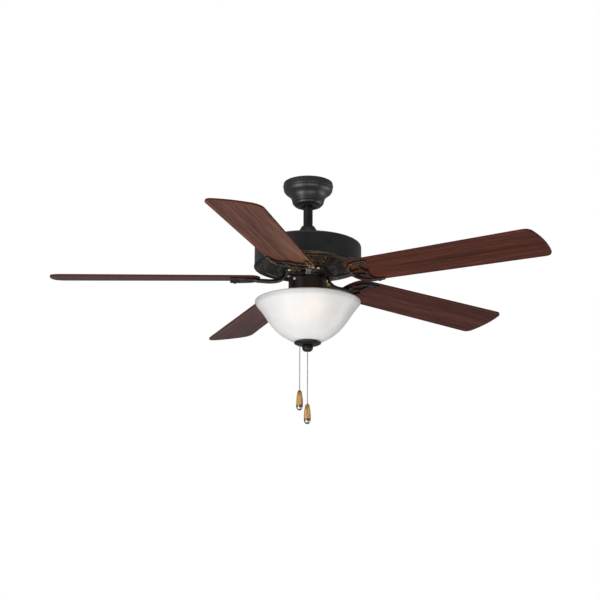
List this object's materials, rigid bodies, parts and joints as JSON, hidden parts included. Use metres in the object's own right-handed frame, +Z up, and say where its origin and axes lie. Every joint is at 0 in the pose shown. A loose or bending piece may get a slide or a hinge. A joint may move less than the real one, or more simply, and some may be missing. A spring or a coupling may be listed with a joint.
{
  "type": "ceiling fan with light",
  "caption": "Ceiling fan on a short downrod with paddle blades on open irons, a drum motor housing and a white glass bowl light with wooden pull-chain fobs.",
  "frame": {"origin": "centre of the hanger bracket's top face, on the ceiling plane and on the fan's axis", "axes": "+Z up along the fan's axis, into the ceiling; +X along the bracket's row of slots, to the viewer's right; +Y away from the viewer"},
  "size_m": [1.2384, 1.2735, 0.6415],
  "materials": {
    "bronze": "dark oil-rubbed bronze lacquer, satin",
    "iron_bronze": "dark oil-rubbed bronze lacquer with warm rub-through, satin",
    "zinc": "bright zinc plate",
    "dark_screw": "dark bronze screw heads",
    "shaft_steel": "turned steel",
    "die_cast": "dark cast metal",
    "ball_grey": "dark moulded plastic",
    "lamination": "oiled electrical steel",
    "copper": "enamelled copper wire",
    "rotor_alloy": "die-cast aluminium",
    "switch_plastic": "black moulded plastic",
    "capacitor_plastic": "black potted case",
    "socket_ceramic": "off-white moulded lamp holder",
    "bulb_base": "lamp cap",
    "bulb_glass": "frosted bulb",
    "bowl_glass": "etched white glass, satin",
    "rubber": "black rubber",
    "blade_wood": "dark cherry and walnut veneer, satin",
    "chain_steel": "bright nickel ball chain",
    "fob_wood": "golden oak, lacquered",
    "fob_chrome": "polished chrome"
  },
  "bodies": {
    "ceiling_mount": {"hanger_bracket": "zinc", "canopy": "bronze", "canopy_screws": "dark_screw"},
    "hanging_assembly": {"hanger_ball": "ball_grey", "downrod": "bronze", "downrod_pins": "zinc", "coupling_cover": "bronze", "motor_yoke": "die_cast", "yoke_set_screws": "zinc", "motor_shaft": "shaft_steel", "upper_housing": "bronze", "lower_pan": "bronze", "housing_screws": "dark_screw", "stator_core": "lamination", "stator_windings": "copper", "bearing_inner_races": "shaft_steel", "switch_plate": "bronze", "shaft_locknuts": "zinc", "switch_housing": "bronze", "switch_housing_screws": "zinc", "fan_switch": "switch_plastic", "light_switch": "switch_plastic", "run_capacitor": "capacitor_plastic", "reverse_switch": "switch_plastic", "light_fitter": "zinc", "lamp_sockets": "socket_ceramic", "bulb_bases": "bulb_base", "bulb_glasses": "bulb_glass", "bowl_rod": "zinc", "rod_nuts": "zinc", "glass_bowl": "bowl_glass", "bowl_washer": "rubber", "finial_plate": "bronze", "finial_knob": "bronze"},
    "rotor": {"rotor_upper_bell": "rotor_alloy", "rotor_lower_bell": "rotor_alloy", "rotor_ring": "die_cast", "rotor_screws": "zinc", "bearing_outer_races": "shaft_steel", "bearing_balls": "shaft_steel", "blade_iron_1": "iron_bronze", "blade_iron_2": "iron_bronze", "blade_iron_3": "iron_bronze", "blade_iron_4": "iron_bronze", "blade_iron_5": "iron_bronze", "blade_1": "blade_wood", "blade_2": "blade_wood", "blade_3": "blade_wood", "blade_4": "blade_wood", "blade_5": "blade_wood", "iron_screws": "zinc", "blade_screws": "dark_screw"},
    "fan_pull": {"fan_pull_chain": "chain_steel", "fan_fob": "fob_wood", "fan_fob_tip": "fob_chrome"},
    "light_pull": {"light_pull_chain": "chain_steel", "light_fob": "fob_wood", "light_fob_tip": "fob_chrome"},
    "reverse_slider": {"reverse_slider": "switch_plastic"}
  },
  "joints": [
    {"name": "hanger_ball_tilt", "type": "hinge", "parent": "ceiling_mount", "child": "hanging_assembly", "pos_m": [0, 0, -0.036], "axis": [1, 0, 0], "range_deg": [-8, 8]},
    {"name": "rotor_spin", "type": "hinge", "parent": "hanging_assembly", "child": "rotor", "pos_m": [0, 0, -0.25], "axis": [0, 0, 1], "continuous": true},
    {"name": "fan_chain_pull", "type": "slide", "parent": "hanging_assembly", "child": "fan_pull", "axis": [0, 0, -1], "range_m": [0, 0.012], "stiffness_N_per_m": 1000},
    {"name": "light_chain_pull", "type": "slide", "parent": "hanging_assembly", "child": "light_pull", "axis": [0, 0, -1], "range_m": [0, 0.012], "stiffness_N_per_m": 1000},
    {"name": "reverse_slide", "type": "slide", "parent": "hanging_assembly", "child": "reverse_slider", "axis": [0, 0, -1], "range_m": [0, 0.006]}
  ]
}
